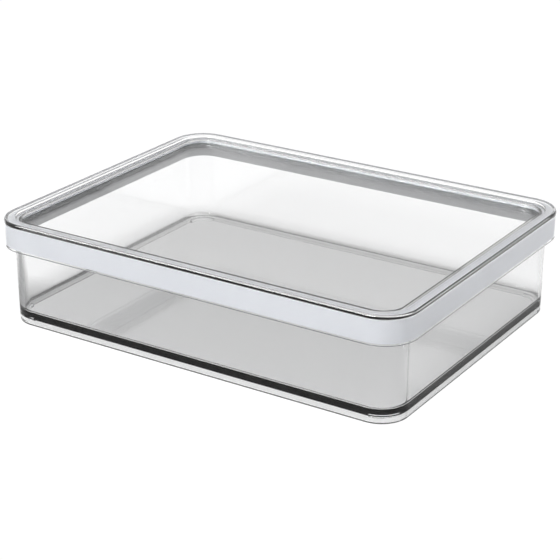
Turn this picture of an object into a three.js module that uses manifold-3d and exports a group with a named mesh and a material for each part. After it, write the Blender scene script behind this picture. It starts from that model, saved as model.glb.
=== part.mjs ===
// Flat storage box of clear plastic: a tub, a lift-off lid and the soft white seal inside the lid's skirt.
// Millimetres, +Z up. The origin is the middle of the footprint, on the surface that the box stands on.
// The long sides run along X and the short sides along Y.
import * as THREE from 'three';
import { mergeVertices } from 'three/addons/utils/BufferGeometryUtils.js';
import Module from 'manifold-3d';

// Driving dimensions of the lid
const LENGTH = 200;            // outside, along X
const WIDTH = 151;             // outside, along Y
const HEIGHT = 47.4;           // from the standing surface to the top of the lid's rim
const LID_CORNER = 15;         // radius of the outer corners in plan
const SKIRT_DEPTH = 12.6;      // from the rim's top to the skirt's lower edge
const SKIRT_WALL = 1.4;
const RIM_WIDTH = 7.1;         // from the outer face to the recess in the lid's top
const RIM_THICKNESS = 1.9;     // under the bead
const BEAD_WIDTH = 4.3;        // raised bead round the rim, from the outer face to its inner edge
const BEAD_HEIGHT = 1;         // the bead's top above the ledge between it and the recess
const BEAD_DRAFT = 0.25;       // lean of the bead's inner side
const RECESS_DEPTH = 3.2;      // from the rim's top to the panel's top
const PANEL_THICKNESS = 1.8;
const LIP_DROP = 0.9;          // how far the lip reaches down past the panel
const LIP_EDGE = 0.3;          // rounding of the lip's lower edges
const OUTER_EDGE = 0.9;        // rounding of the outer top edge
const BEAD_EDGE = 0.3;         // rounding of the bead's inner edge
const RECESS_EDGE = 0.3;       // rounding of the recess, at its top and at its foot
const SKIRT_EDGE = 0.3;        // rounding of the skirt's lower edge

// Driving dimensions of the seal
const SEAL_LEG = 1.5;          // thickness of the leg between the skirt and the tub
const SEAL_WEB = 0.8;          // thickness of the web over the tub's upper edge
const SEAL_SETBACK = 0.7;      // height of the leg's lower edge above the skirt's
const SEAL_LEAD_IN = 0.5;      // rounding that guides the tub's edge into the seal

// Driving dimensions of the tub
const TUB_CORNER = 12.7;       // radius of the outer corners in plan, at the upper edge
const TUB_WALL = 2.2;
const TUB_TAPER = 0.33;        // how far each wall leans in from the upper edge to the foot
const TUB_EDGE = 0.35;         // rounding of the upper edge
const FLOOR_THICKNESS = 3.1;
const FLOOR_FILLET = 1.8;      // rounding between the floor and the walls
const FOOT_HEIGHT = 2.6;       // rim that carries the floor above the standing surface
const FOOT_EDGE = 0.5;         // rounding of the foot rim
const RIB_WALL = 1.2;          // corner ribs under the floor
const RIB_LIFT = 1.2;          // height of their lower edges above the standing surface
const RIB_SINK = 1;            // depth to which they run up into the floor
const STACKING_GAP = 0.5;      // how far the corner ribs lie, in plan, inside the outline of the lid's recess

// Clearance between pieces, and facets of the rounded forms
const FIT_GAP = 0.3;
const CORNER_STEPS = 14;
const ROUND_STEPS = 4;

// Levels and insets that follow from the dimensions. An inset is counted inwards from the lid's outer faces.
const rimUnderside = HEIGHT - RIM_THICKNESS;
const skirtLow = HEIGHT - SKIRT_DEPTH;
const ledge = HEIGHT - BEAD_HEIGHT;
const panelTop = HEIGHT - RECESS_DEPTH;
const panelUnderside = panelTop - PANEL_THICKNESS;
const lipLow = panelUnderside - LIP_DROP;
const sealTop = rimUnderside - FIT_GAP;
const sealWebLow = sealTop - SEAL_WEB;
const sealLow = skirtLow + SEAL_SETBACK;
const tubHeight = sealWebLow - FIT_GAP;
const floorTop = FOOT_HEIGHT + FLOOR_THICKNESS;
const sealOutside = SKIRT_WALL + FIT_GAP;
const sealInside = sealOutside + SEAL_LEG;
const tubOutside = sealInside + FIT_GAP;
const tubInside = tubOutside + TUB_WALL;
const lipOutside = tubInside + FIT_GAP;

// Corner arcs come in two families: the lid's outside, and everything that follows the tub.
// Each is known by the inset of its arcs' centres, so that the arcs within a family share them.
const LID_CENTRE = LID_CORNER;
const TUB_CENTRE = tubOutside + TUB_CORNER;

// Inset of the tub's outer face at a height.
function tubFace(z) {
  return tubOutside + TUB_TAPER * (1 - z / tubHeight);
}

// One corner of a section, with its rounding and the family of its arcs in plan.
function corner(inset, z, centre, rounding = 0) {
  return { at: new THREE.Vector2(inset, z), centre, rounding };
}

// The points of one section corner: an arc tangent to both neighbouring edges, or the corner itself.
function cornerPoints({ at, centre, rounding }, before, after) {
  if (rounding === 0) {
    return [{ inset: at.x, z: at.y, centre }];
  }
  const back = before.at.clone().sub(at).normalize();
  const ahead = after.at.clone().sub(at).normalize();
  const half = Math.acos(back.dot(ahead)) / 2;
  const middle = back.clone().add(ahead).setLength(rounding / Math.sin(half)).add(at);
  const start = back.clone().multiplyScalar(rounding / Math.tan(half)).add(at).sub(middle);
  const turn = Math.sign(back.cross(ahead)) * (2 * half - Math.PI);
  const points = [];
  for (let step = 0; step <= ROUND_STEPS; step += 1) {
    const point = start.clone().rotateAround(new THREE.Vector2(), turn * step / ROUND_STEPS).add(middle);
    points.push({ inset: point.x, z: point.y, centre });
  }
  return points;
}

// A section's corners, rounded. An open section keeps its two ends as they are.
function rounded(corners) {
  const count = corners.length;
  return corners.flatMap((each, k) => (
    cornerPoints(each, corners[(k + count - 1) % count], corners[(k + 1) % count])
  ));
}

// Rounded rectangle at one point of a section, anticlockwise seen from above.
function ring({ inset, z, centre }) {
  const radius = centre - inset;
  const arcs = [[1, 1], [-1, 1], [-1, -1], [1, -1]];
  return arcs.flatMap(([sideX, sideY], quarter) => {
    const middle = new THREE.Vector3(sideX * (LENGTH / 2 - centre), sideY * (WIDTH / 2 - centre), z);
    return Array.from({ length: CORNER_STEPS + 1 }, (_, step) => {
      const angle = (quarter + step / CORNER_STEPS) * Math.PI / 2;
      return new THREE.Vector3(radius * Math.cos(angle), radius * Math.sin(angle), 0).add(middle);
    });
  });
}

// Solid swept around the box from a section that runs outwards below, up outside and inwards above.
// A closed section makes a ring; an open one is closed by flat plates across its first and last rings.
function sweep(corners, closed) {
  const rings = rounded(corners).map(ring);
  const around = rings[0].length;
  const positions = rings.flat().flatMap((point) => point.toArray());
  const indices = [];
  const spans = closed ? rings.length : rings.length - 1;
  for (let low = 0; low < spans; low += 1) {
    const high = (low + 1) % rings.length;
    for (let here = 0; here < around; here += 1) {
      const next = (here + 1) % around;
      indices.push(low * around + here, low * around + next, high * around + next);
      indices.push(low * around + here, high * around + next, high * around + here);
    }
  }
  if (!closed) {
    const last = (rings.length - 1) * around;
    for (const [a, b, c] of THREE.ShapeUtils.triangulateShape(rings[0], [])) {
      indices.push(a, c, b);
    }
    for (const [a, b, c] of THREE.ShapeUtils.triangulateShape(rings.at(-1), [])) {
      indices.push(last + a, last + b, last + c);
    }
  }
  const geometry = new THREE.BufferGeometry();
  geometry.setAttribute('position', new THREE.Float32BufferAttribute(positions, 3));
  geometry.setIndex(indices);
  return geometry;
}

// Joining of solids
const wasm = await Module();
wasm.setup();

function solid(geometry) {
  const bare = geometry.clone();
  bare.deleteAttribute('normal');
  bare.deleteAttribute('uv');
  const merged = mergeVertices(bare);
  return new wasm.Manifold(new wasm.Mesh({
    numProp: 3,
    vertProperties: new Float32Array(merged.attributes.position.array),
    triVerts: new Uint32Array(merged.index.array),
  }));
}

function joined(base, additions) {
  const mesh = additions.reduce((whole, piece) => whole.add(solid(piece)), solid(base)).getMesh();
  const geometry = new THREE.BufferGeometry();
  geometry.setAttribute('position', new THREE.Float32BufferAttribute(mesh.vertProperties, 3));
  geometry.setIndex(Array.from(mesh.triVerts));
  return geometry;
}

// Tub: tapered walls on a foot rim, a floor with a rounded inside, and an upper edge that enters the seal.
function tubShell() {
  const footInside = tubFace(0) + TUB_WALL;
  const floorEdge = tubFace(floorTop) + TUB_WALL;
  return sweep([
    corner(footInside, FOOT_HEIGHT, TUB_CENTRE),
    corner(footInside, 0, TUB_CENTRE, FOOT_EDGE),
    corner(tubFace(0), 0, TUB_CENTRE, FOOT_EDGE),
    corner(tubOutside, tubHeight, TUB_CENTRE, TUB_EDGE),
    corner(tubInside, tubHeight, TUB_CENTRE, TUB_EDGE),
    corner(floorEdge, floorTop, TUB_CENTRE, FLOOR_FILLET),
    corner(floorEdge + 2 * FLOOR_FILLET, floorTop, TUB_CENTRE),
  ], false);
}

// Corner rib under the floor: a quarter ring that lies, in plan, inside the outline of the lid's recess.
function cornerRib(sideX, sideY) {
  const outer = TUB_CENTRE - RIM_WIDTH - STACKING_GAP;
  const inner = outer - RIB_WALL;
  const start = Math.atan2(sideY, sideX) - Math.PI / 4;
  const end = start + Math.PI / 2;
  const outline = new THREE.Shape();
  outline.absarc(0, 0, outer, start, end, false);
  outline.absarc(0, 0, inner, end, start, true);
  const rib = new THREE.ExtrudeGeometry(outline, {
    depth: FOOT_HEIGHT + RIB_SINK - RIB_LIFT,
    bevelEnabled: false,
    curveSegments: CORNER_STEPS,
  });
  return rib.translate(sideX * (LENGTH / 2 - TUB_CENTRE), sideY * (WIDTH / 2 - TUB_CENTRE), RIB_LIFT);
}

function tub() {
  const ribs = [[1, 1], [-1, 1], [-1, -1], [1, -1]].map(([sideX, sideY]) => cornerRib(sideX, sideY));
  return joined(tubShell(), ribs);
}

// Lid: a panel set down inside a raised rim with a bead on it, a lip that enters the tub, and a skirt outside.
function lid() {
  return sweep([
    corner(RIM_WIDTH, panelUnderside, TUB_CENTRE),
    corner(RIM_WIDTH, lipLow, TUB_CENTRE, LIP_EDGE),
    corner(lipOutside, lipLow, TUB_CENTRE, LIP_EDGE),
    corner(lipOutside, rimUnderside, TUB_CENTRE),
    corner(SKIRT_WALL, rimUnderside, LID_CENTRE),
    corner(SKIRT_WALL, skirtLow, LID_CENTRE, SKIRT_EDGE),
    corner(0, skirtLow, LID_CENTRE, SKIRT_EDGE),
    corner(0, HEIGHT, LID_CENTRE, OUTER_EDGE),
    corner(BEAD_WIDTH, HEIGHT, TUB_CENTRE, BEAD_EDGE),
    corner(BEAD_WIDTH + BEAD_DRAFT, ledge, TUB_CENTRE),
    corner(RIM_WIDTH, ledge, TUB_CENTRE, RECESS_EDGE),
    corner(RIM_WIDTH, panelTop, TUB_CENTRE, RECESS_EDGE),
    corner(RIM_WIDTH + 2 * RECESS_EDGE, panelTop, TUB_CENTRE),
  ], false);
}

// Seal: a leg behind the skirt, hanging from a web that lies between the tub's upper edge and the lid.
function seal() {
  return sweep([
    corner(sealInside, sealLow, TUB_CENTRE, SEAL_LEAD_IN),
    corner(sealOutside, sealLow, LID_CENTRE),
    corner(sealOutside, sealTop, LID_CENTRE),
    corner(tubInside, sealTop, TUB_CENTRE),
    corner(tubInside, sealWebLow, TUB_CENTRE),
    corner(sealInside, sealWebLow, TUB_CENTRE),
  ], true);
}

function piece(name, geometry, finish) {
  geometry.computeVertexNormals();
  const mesh = new THREE.Mesh(geometry, new THREE.MeshStandardMaterial(finish));
  mesh.name = name;
  return mesh;
}

const clearPlastic = { color: 0xf2f5f6, roughness: 0.04, metalness: 0, transparent: true, opacity: 0.3 };
const whiteRubber = { color: 0xe9ecf3, roughness: 0.55, metalness: 0 };

const box = new THREE.Group();
box.add(piece('tub', tub(), clearPlastic));

const liftOff = new THREE.Group();
liftOff.add(piece('lid', lid(), clearPlastic));
liftOff.add(piece('seal', seal(), whiteRubber));
box.add(liftOff);

export default box;
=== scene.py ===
import math

import bpy
import numpy as np
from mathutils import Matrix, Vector
from mathutils.geometry import tessellate_polygon


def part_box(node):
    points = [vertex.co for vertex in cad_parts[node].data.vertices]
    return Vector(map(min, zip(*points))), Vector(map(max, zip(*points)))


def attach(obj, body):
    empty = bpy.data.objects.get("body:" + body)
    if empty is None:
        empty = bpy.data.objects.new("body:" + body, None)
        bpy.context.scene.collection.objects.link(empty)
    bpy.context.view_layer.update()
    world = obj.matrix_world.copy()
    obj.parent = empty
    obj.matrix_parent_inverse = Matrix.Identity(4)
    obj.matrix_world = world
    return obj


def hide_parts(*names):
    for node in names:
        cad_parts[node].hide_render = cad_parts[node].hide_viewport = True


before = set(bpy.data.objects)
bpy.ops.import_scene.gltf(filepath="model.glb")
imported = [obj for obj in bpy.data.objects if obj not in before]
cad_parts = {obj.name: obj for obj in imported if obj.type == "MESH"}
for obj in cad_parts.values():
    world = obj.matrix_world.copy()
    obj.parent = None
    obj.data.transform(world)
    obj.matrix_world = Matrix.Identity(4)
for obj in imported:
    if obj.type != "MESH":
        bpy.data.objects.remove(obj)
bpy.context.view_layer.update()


# Tub
# The lower half of the box: an injection-moulded shell of clear styrene plastic, about two millimetres
# thick. Its walls taper a little towards the foot rim, which carries a thick floor just clear of the table,
# with a short curved rib under each of its corners.
MM = 0.001
CORNER_STEPS = 40
ROUND_STEPS = 10
RIB_STEPS = 24
TUB_CORNER = 12.7 * MM
TUB_WALL = 2.2 * MM
TUB_TAPER = 0.33 * MM
TUB_EDGE = 0.35 * MM
FLOOR_THICKNESS = 2.7 * MM
FLOOR_FILLET = 1.8 * MM
FOOT_HEIGHT = 2.6 * MM
FOOT_EDGE = 0.5 * MM
INNER_FOOT_EDGE = 0.3 * MM
RIB_RADIUS = 8.6 * MM
RIB_WALL = 1.2 * MM
RIB_LIFT = 1.2 * MM
TUB_TINT = 90.0
PLASTIC_IOR = 1.57
TINT_COLOUR = (0.6, 0.61, 0.62, 1.0)
MARK_SCALE = 60.0
MARK_DETAIL = 4.0
MARK_ROUGHNESS = 0.02
WHITE = (1.0, 1.0, 1.0, 1.0)
# A level plate starts this many roundings in from the rounded edge that it meets.
PLATE_SET_IN = 2
# Each upright corner: the quarter turn at which it starts, and its sides along the length and the width.
CORNERS = ((0, 1, 1), (1, -1, 1), (2, -1, -1), (3, 1, -1))
lid_low, lid_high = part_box("lid")
_, tub_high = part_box("tub")
half_length = lid_high.x
half_width = lid_high.y
tub_outside = half_length - tub_high.x
tub_inside = tub_outside + TUB_WALL
tub_centre = tub_outside + TUB_CORNER
tub_height = tub_high.z
floor_top = FOOT_HEIGHT + FLOOR_THICKNESS


def corner(inset, z, centre, rounding=0):
    """Corner of a section: inset from the lid's outer face, height, centre of the plan arcs, rounding."""
    return {"at": np.array([inset, z]), "centre": centre, "rounding": rounding}


def arc(point, before, after):
    """The rounded corner as (inset, height, centre, normal) steps, tangent to both neighbouring edges."""
    back = before["at"] - point["at"]
    ahead = after["at"] - point["at"]
    back /= np.linalg.norm(back)
    ahead /= np.linalg.norm(ahead)
    half = math.acos(np.clip(back @ ahead, -1, 1)) / 2
    bisector = (back + ahead) / np.linalg.norm(back + ahead)
    middle = point["at"] + bisector * point["rounding"] / math.sin(half)
    bend = np.sign(back[0] * ahead[1] - back[1] * ahead[0])
    start = point["at"] + back * point["rounding"] / math.tan(half) - middle
    steps = []
    for step in range(ROUND_STEPS + 1):
        turn = bend * (2 * half - math.pi) * step / ROUND_STEPS
        spin = np.array([[math.cos(turn), -math.sin(turn)], [math.sin(turn), math.cos(turn)]])
        spoke = spin @ start
        steps.append((*(middle + spoke), point["centre"], bend * spoke / point["rounding"]))
    return steps


def section(corners, closed):
    """Every step of a section: its rounded corners and, where it is open, the edges of two level plates."""
    steps = []
    last = len(corners) - 1
    for index, point in enumerate(corners):
        if closed or 0 < index < last:
            steps += arc(point, corners[index - 1], corners[(index + 1) % len(corners)])
        else:
            facing = np.array([0.0, 1.0 if index == last else -1.0])
            steps.append((*point["at"], point["centre"], facing))
    return steps


def ring(inset, z, centre, normal):
    """Rounded rectangle round the box at one step of a section, with the surface's normals."""
    points = []
    normals = []
    for quarter, side_x, side_y in CORNERS:
        for step in range(CORNER_STEPS + 1):
            angle = (quarter + step / CORNER_STEPS) * math.pi / 2
            spoke = np.array([math.cos(angle), math.sin(angle), 0])
            middle = (side_x * (half_length - centre), side_y * (half_width - centre), z)
            points.append(spoke * (centre - inset) + middle)
            normals.append(-spoke * normal[0] + (0, 0, normal[1]))
    return points, normals


def lower_plate(points, around, ribs, rib_low):
    """Faces of the plate inside the first ring, with ribs standing down from it; adds the ribs' points."""
    outlines = [[Vector(point) for point in points[:around]]]
    numbers = list(range(around))
    faces = []
    for rib in ribs:
        count = len(rib)
        first = len(points)
        points += [(x, y, outlines[0][0].z) for x, y in rib]
        points += [(x, y, rib_low) for x, y in rib]
        outlines.append([Vector(point) for point in points[first:first + count]])
        numbers += range(first, first + count)
        for here in range(count):
            after = (here + 1) % count
            faces.append((first + count + here, first + count + after, first + after, first + here))
        faces.append(tuple(reversed(range(first + count, first + 2 * count))))
    for triangle in tessellate_polygon(outlines):
        a, b, c = (numbers[index] for index in triangle)
        faces_up = np.cross(np.subtract(points[b], points[a]), np.subtract(points[c], points[a]))[2] > 0
        faces.append((a, c, b) if faces_up else (a, b, c))
    return faces


def moulding(name, corners, closed=False, ribs=(), rib_low=0):
    """A piece swept round the box; its section runs outwards below, up outside and inwards above.

    An open section is closed by level plates. Ribs are outlines that stand down from the lower plate.
    """
    rings = [ring(*step) for step in section(corners, closed)]
    around = len(rings[0][0])
    points = [point for ring_points, _ in rings for point in ring_points]
    normals = [normal for _, ring_normals in rings for normal in ring_normals]
    faces = []
    for low in range(len(rings) if closed else len(rings) - 1):
        high = (low + 1) % len(rings)
        for here in range(around):
            after = (here + 1) % around
            faces.append((
                low * around + here, low * around + after,
                high * around + after, high * around + here))
    if not closed:
        last = (len(rings) - 1) * around
        faces.append(tuple(range(last, last + around)))
    smooth_faces = len(faces)
    if not closed:
        faces += lower_plate(points, around, ribs, rib_low)
    mesh = bpy.data.meshes.new(name)
    mesh.from_pydata(points, [], faces)
    corner_normals = []
    for face in mesh.polygons:
        face.use_smooth = face.index < smooth_faces
        for vertex in face.vertices:
            corner_normals.append(normals[vertex] if face.use_smooth else face.normal)
    mesh.normals_split_custom_set(corner_normals)
    piece = bpy.data.objects.new(name, mesh)
    bpy.context.scene.collection.objects.link(piece)
    return piece


def tub_face(z):
    """Inset of the tub's outer face at a height."""
    return tub_outside + TUB_TAPER * (1 - z / tub_height)


def corner_rib(quarter, side_x, side_y):
    """Outline of a rib under a corner of the floor: a quarter of a ring about the corner's centre."""
    outline = []
    outer_steps = range(RIB_STEPS + 1)
    for radius, steps in ((RIB_RADIUS, outer_steps), (RIB_RADIUS - RIB_WALL, reversed(outer_steps))):
        for step in steps:
            angle = (quarter + step / RIB_STEPS) * math.pi / 2
            outline.append((
                side_x * (half_length - tub_centre) + radius * math.cos(angle),
                side_y * (half_width - tub_centre) + radius * math.sin(angle)))
    return outline


def clear_plastic(name, tint):
    """Clear, polished plastic with faint handling marks; tint is how fast it greys with depth."""
    material = bpy.data.materials.new(name)
    material.use_nodes = True
    nodes = material.node_tree.nodes
    links = material.node_tree.links
    shader = nodes["Principled BSDF"]
    shader.inputs["Base Color"].default_value = WHITE
    shader.inputs["IOR"].default_value = PLASTIC_IOR
    shader.inputs["Transmission Weight"].default_value = 1.0
    place = nodes.new("ShaderNodeTexCoord")
    marks = nodes.new("ShaderNodeTexNoise")
    marks.inputs["Scale"].default_value = MARK_SCALE
    marks.inputs["Detail"].default_value = MARK_DETAIL
    gloss = nodes.new("ShaderNodeMapRange")
    gloss.inputs["To Min"].default_value = 0.0
    gloss.inputs["To Max"].default_value = MARK_ROUGHNESS
    links.new(place.outputs["Object"], marks.inputs["Vector"])
    links.new(marks.outputs["Fac"], gloss.inputs["Value"])
    links.new(gloss.outputs["Result"], shader.inputs["Roughness"])
    absorb = nodes.new("ShaderNodeVolumeAbsorption")
    absorb.inputs["Color"].default_value = TINT_COLOUR
    absorb.inputs["Density"].default_value = tint
    links.new(absorb.outputs["Volume"], nodes["Material Output"].inputs["Volume"])
    return material


foot_inside = tub_face(0) + TUB_WALL
floor_edge = tub_face(floor_top) + TUB_WALL
tub = moulding("clear_tub", [
    corner(foot_inside + PLATE_SET_IN * INNER_FOOT_EDGE, FOOT_HEIGHT, tub_centre),
    corner(foot_inside, FOOT_HEIGHT, tub_centre, INNER_FOOT_EDGE),
    corner(foot_inside, 0, tub_centre, FOOT_EDGE),
    corner(tub_face(0), 0, tub_centre, FOOT_EDGE),
    corner(tub_outside, tub_height, tub_centre, TUB_EDGE),
    corner(tub_inside, tub_height, tub_centre, TUB_EDGE),
    corner(floor_edge, floor_top, tub_centre, FLOOR_FILLET),
    corner(floor_edge + PLATE_SET_IN * FLOOR_FILLET, floor_top, tub_centre),
], ribs=[corner_rib(*which) for which in CORNERS], rib_low=RIB_LIFT)
tub.data.materials.append(clear_plastic("tub_clear_plastic", TUB_TINT))
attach(tub, "tub")
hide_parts("tub")


# Seal
# A soft white ring of thermoplastic rubber, moulded onto the inside of the lid's skirt. Its leg grips the
# tub's outside and shows through the skirt as a white band, and a thin web lies over the tub's upper edge.
SKIRT_WALL = 1.4 * MM
LID_CORNER = 15 * MM
SEAL_LEG = 1.5 * MM
SEAL_WEB = 0.85 * MM
SEAL_BITE = 0.02 * MM
SEAL_LEAD_IN = 0.5 * MM
SEAL_EDGE = 0.1 * MM
WEB_LIFT = 0.05 * MM
SEAL_SHADE = (0.89, 0.91, 0.955, 1.0)
SEAL_LIGHT = (0.92, 0.94, 0.985, 1.0)
SEAL_CLOUD_SCALE = 90.0
SEAL_ROUGHNESS = 0.5
seal_low, seal_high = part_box("seal")
# Insets start at the lid's outer face, so the centres of its corner arcs lie one radius in.
lid_centre = LID_CORNER
seal_outside = SKIRT_WALL - SEAL_BITE
seal_inside = half_length - seal_high.x + SEAL_LEG
web_low = tub_height + WEB_LIFT
web_top = web_low + SEAL_WEB


def white_rubber(name):
    """Satin rubber of a faintly bluish, slightly cloudy white."""
    material = bpy.data.materials.new(name)
    material.use_nodes = True
    nodes = material.node_tree.nodes
    links = material.node_tree.links
    shader = nodes["Principled BSDF"]
    shader.inputs["Roughness"].default_value = SEAL_ROUGHNESS
    place = nodes.new("ShaderNodeTexCoord")
    cloud = nodes.new("ShaderNodeTexNoise")
    cloud.inputs["Scale"].default_value = SEAL_CLOUD_SCALE
    tone = nodes.new("ShaderNodeValToRGB")
    tone.color_ramp.elements[0].color = SEAL_SHADE
    tone.color_ramp.elements[1].color = SEAL_LIGHT
    links.new(place.outputs["Object"], cloud.inputs["Vector"])
    links.new(cloud.outputs["Fac"], tone.inputs["Fac"])
    links.new(tone.outputs["Color"], shader.inputs["Base Color"])
    return material


seal = moulding("white_seal", [
    corner(seal_inside, seal_low.z, tub_centre, SEAL_LEAD_IN),
    corner(seal_outside, seal_low.z, lid_centre, SEAL_EDGE),
    corner(seal_outside, web_top, lid_centre, SEAL_EDGE),
    corner(tub_inside, web_top, tub_centre, SEAL_EDGE),
    corner(tub_inside, web_low, tub_centre, SEAL_EDGE),
    corner(seal_inside, web_low, tub_centre, SEAL_EDGE),
], closed=True)
seal.data.materials.append(white_rubber("seal_white_rubber"))
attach(seal, "lid")
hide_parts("seal")


# Lid
# One clear moulding: a flat panel set down inside a raised rim with a bead round its outside, a lip that
# enters the tub, and a skirt. It is put on and lifted off by hand, and carries the seal.
SKIRT_EDGE = 0.3 * MM
RIM_WIDTH = 7.1 * MM
RIM_THICKNESS = 1.9 * MM
BEAD_WIDTH = 4.3 * MM
BEAD_DRAFT = 0.25 * MM
BEAD_HEIGHT = 1.0 * MM
BEAD_EDGE = 0.3 * MM
BEAD_FOOT = 0.2 * MM
RECESS_DEPTH = 3.2 * MM
RECESS_EDGE = 0.06 * MM
PANEL_THICKNESS = 1.8 * MM
LIP_DROP = 0.9 * MM
OUTER_EDGE = 0.9 * MM
INNER_EDGE = 0.2 * MM
FIT_GAP = 0.3 * MM
LID_TINT = 40.0
lid_top = lid_high.z
ledge = lid_top - BEAD_HEIGHT
rim_underside = lid_top - RIM_THICKNESS
panel_top = lid_top - RECESS_DEPTH
panel_underside = panel_top - PANEL_THICKNESS
lip_low = panel_underside - LIP_DROP
lip_outside = tub_inside + FIT_GAP
lid = moulding("clear_lid", [
    corner(RIM_WIDTH + PLATE_SET_IN * INNER_EDGE, panel_underside, tub_centre),
    corner(RIM_WIDTH, panel_underside, tub_centre, INNER_EDGE),
    corner(RIM_WIDTH, lip_low, tub_centre, INNER_EDGE),
    corner(lip_outside, lip_low, tub_centre, INNER_EDGE),
    corner(lip_outside, rim_underside, tub_centre, INNER_EDGE),
    corner(SKIRT_WALL, rim_underside, lid_centre, INNER_EDGE),
    corner(SKIRT_WALL, lid_low.z, lid_centre, SKIRT_EDGE),
    corner(0, lid_low.z, lid_centre, SKIRT_EDGE),
    corner(0, lid_top, lid_centre, OUTER_EDGE),
    corner(BEAD_WIDTH, lid_top, tub_centre, BEAD_EDGE),
    corner(BEAD_WIDTH + BEAD_DRAFT, ledge, tub_centre, BEAD_FOOT),
    corner(RIM_WIDTH, ledge, tub_centre, RECESS_EDGE),
    corner(RIM_WIDTH, panel_top, tub_centre, RECESS_EDGE),
    corner(RIM_WIDTH + PLATE_SET_IN * RECESS_EDGE, panel_top, tub_centre),
])
lid.data.materials.append(clear_plastic("lid_clear_plastic", LID_TINT))
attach(lid, "lid")
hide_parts("lid")


# Studio
# A white floor that only the camera sees, and in its place a table that only the box sees. The table's glow
# is painted light: a painted pool of light under the box and, past a painted shadow round the foot, painted
# dark in front, bright behind and dimmer on the right. A white sky and three soft lamps light the box, the
# left one for the glint along its rim.
FLOOR_REACH = 4.0
FLOOR_GLOW = 1.02
TABLE_TONE = 0.4
# Strengths and reaches of the table's painted light: a painted glow under the box and painted light beyond
# it.
UNDER_FRONT_GLOW = 0.68
UNDER_BACK_GLOW = 0.5
UNDER_REACH = 2 * MM
SHADOW_REACH = 25 * MM
SHADOW_CURVE = 0.6
DARK_FRONT = -55 * MM
BRIGHT_BACK = -25 * MM
BACK_GLOW = 0.78
RIGHT_SHARE = 0.58
SKY_GLOW = 0.85
LAMP_DISTANCE = 1.5
CAMERA_AZIMUTH = 32.805
CAMERA_ELEVATION = 22.667
CAMERA_DISTANCE = 733.85 * MM
CAMERA_AIM = Vector((1.18, -3.36, 16.7)) * MM
CAMERA_LENS = 107.9
CAMERA_SENSOR = 36
scene = bpy.context.scene


def sheet(name):
    """A large level sheet at the height that the box stands on."""
    mesh = bpy.data.meshes.new(name)
    mesh.from_pydata(
        [(-FLOOR_REACH, -FLOOR_REACH, 0), (FLOOR_REACH, -FLOOR_REACH, 0),
         (FLOOR_REACH, FLOOR_REACH, 0), (-FLOOR_REACH, FLOOR_REACH, 0)], [], [(0, 1, 2, 3)])
    level = bpy.data.objects.new(name, mesh)
    scene.collection.objects.link(level)
    return level


def paper(name, tone):
    """Matt paper of a grey tone that can glow."""
    material = bpy.data.materials.new(name)
    material.use_nodes = True
    shader = material.node_tree.nodes["Principled BSDF"]
    shader.inputs["Base Color"].default_value = (tone, tone, tone, 1.0)
    shader.inputs["Roughness"].default_value = 1.0
    shader.inputs["Specular IOR Level"].default_value = 0.0
    shader.inputs["Emission Color"].default_value = WHITE
    return material


floor = sheet("floor")
floor_paper = paper("floor_paper", 0.0)
floor_paper.node_tree.nodes["Principled BSDF"].inputs["Emission Strength"].default_value = FLOOR_GLOW
floor.data.materials.append(floor_paper)
floor.visible_diffuse = False
floor.visible_glossy = False
floor.visible_transmission = False
floor.visible_shadow = False

table = sheet("table")
table.visible_camera = False
table_painted_glow = paper("table_painted_glow", TABLE_TONE)
table.data.materials.append(table_painted_glow)
table_nodes = table_painted_glow.node_tree.nodes
table_links = table_painted_glow.node_tree.links


def slope(source, start, stop, low, high):
    """A number that goes from low to high as the source goes from start to stop."""
    step = table_nodes.new("ShaderNodeMapRange")
    step.inputs["From Min"].default_value = start
    step.inputs["From Max"].default_value = stop
    step.inputs["To Min"].default_value = low
    step.inputs["To Max"].default_value = high
    table_links.new(source, step.inputs["Value"])
    return step.outputs["Result"]


def number_step(operation, *sources):
    """One step of arithmetic on results of other steps."""
    step = table_nodes.new("ShaderNodeMath")
    step.operation = operation
    for socket, source in zip(step.inputs, sources):
        table_links.new(source, socket)
    return step


def vector_step(operation, source, value=(0, 0, 0)):
    """One step of vector arithmetic on the result of another step."""
    step = table_nodes.new("ShaderNodeVectorMath")
    step.operation = operation
    step.inputs[1].default_value = value
    table_links.new(source, step.inputs[0])
    return step


spot = table_nodes.new("ShaderNodeTexCoord").outputs["Object"]
split = table_nodes.new("ShaderNodeSeparateXYZ")
table_links.new(spot, split.inputs["Vector"])
foot_reach = (half_length - tub_face(0), half_width - tub_face(0), 0)
from_middle = vector_step("ABSOLUTE", spot).outputs["Vector"]
past_foot = vector_step("SUBTRACT", from_middle, foot_reach).outputs["Vector"]
outside_foot = vector_step("MAXIMUM", past_foot).outputs["Vector"]
foot_distance = vector_step("LENGTH", outside_foot).outputs["Value"]

# Painted pool of light under the box, brighter at the front, fading out within a step past the foot.
under = slope(split.outputs["Y"], -half_width, half_width, UNDER_FRONT_GLOW, UNDER_BACK_GLOW)
under_share = slope(foot_distance, 0.0, UNDER_REACH, 1.0, 0.0)
under_glow = number_step("MULTIPLY", under, under_share).outputs["Value"]

# Painted light beyond the foot: dark in front, bright behind, dimmer on the right, past a painted shadow.
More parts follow.
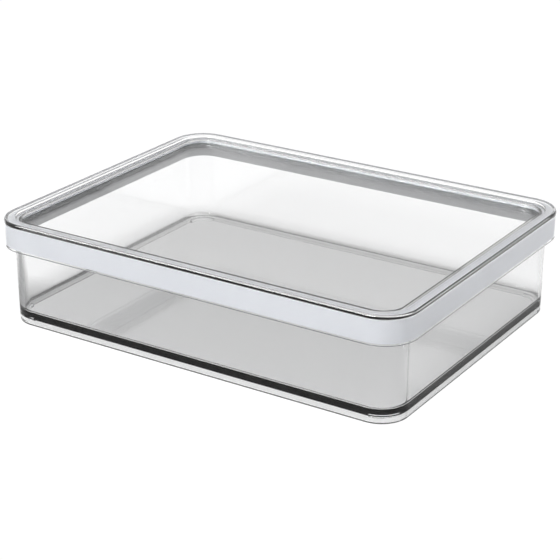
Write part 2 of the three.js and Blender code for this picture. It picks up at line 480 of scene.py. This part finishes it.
behind = slope(split.outputs["Y"], DARK_FRONT, BRIGHT_BACK, 0.0, BACK_GLOW)
right_share = slope(split.outputs["X"], half_length, half_length + SHADOW_REACH, 1.0, RIGHT_SHARE)
past_shadow = number_step("POWER", slope(foot_distance, 0.0, SHADOW_REACH, 0.0, 1.0))
past_shadow.inputs[1].default_value = SHADOW_CURVE
open_share = number_step("MULTIPLY", past_shadow.outputs["Value"], right_share).outputs["Value"]
table_glow = number_step("MULTIPLY_ADD", behind, open_share, under_glow).outputs["Value"]
table_links.new(table_glow, table_nodes["Principled BSDF"].inputs["Emission Strength"])

sky = bpy.data.worlds.new("sky")
sky.use_nodes = True
sky.node_tree.nodes["Background"].inputs["Color"].default_value = WHITE
sky.node_tree.nodes["Background"].inputs["Strength"].default_value = SKY_GLOW
scene.world = sky
scene.view_settings.view_transform = "Standard"
scene.cycles.max_bounces = 32
scene.cycles.transmission_bounces = 32
scene.cycles.diffuse_bounces = 4
# Light that is caught inside the plastic goes dark after one reflection, which draws the rim and the base.
scene.cycles.glossy_bounces = 1


def direction(azimuth, elevation):
    """Unit vector from the box: azimuth in degrees from the front towards the right, then elevation."""
    level = math.cos(math.radians(elevation))
    return Vector((
        math.sin(math.radians(azimuth)) * level,
        -math.cos(math.radians(azimuth)) * level,
        math.sin(math.radians(elevation))))


def soft_lamp(name, azimuth, elevation, size, power):
    """A square soft lamp that faces the box from a direction."""
    data = bpy.data.lights.new(name, "AREA")
    data.size = size
    data.energy = power
    lamp = bpy.data.objects.new(name, data)
    lamp.location = direction(azimuth, elevation) * LAMP_DISTANCE
    lamp.rotation_euler = direction(azimuth, elevation).to_track_quat("Z", "Y").to_euler()
    scene.collection.objects.link(lamp)
    return lamp


soft_lamp("main_softbox", azimuth=-8, elevation=30, size=0.7, power=22.0)
soft_lamp("fill_softbox", azimuth=95, elevation=35, size=0.9, power=8.0)
glint_lamp = soft_lamp("glint_softbox", azimuth=-35, elevation=30, size=0.7, power=10.0)
glint_lamp.visible_diffuse = False
glint_lamp.visible_transmission = False

camera_side = direction(CAMERA_AZIMUTH, CAMERA_ELEVATION)
camera_data = bpy.data.cameras.new("camera")
camera_data.sensor_width = CAMERA_SENSOR
camera_data.sensor_fit = "HORIZONTAL"
camera_data.lens = CAMERA_LENS
camera = bpy.data.objects.new("camera", camera_data)
camera.location = CAMERA_AIM + camera_side * CAMERA_DISTANCE
camera.rotation_euler = camera_side.to_track_quat("Z", "Y").to_euler()
scene.collection.objects.link(camera)
scene.camera = camera
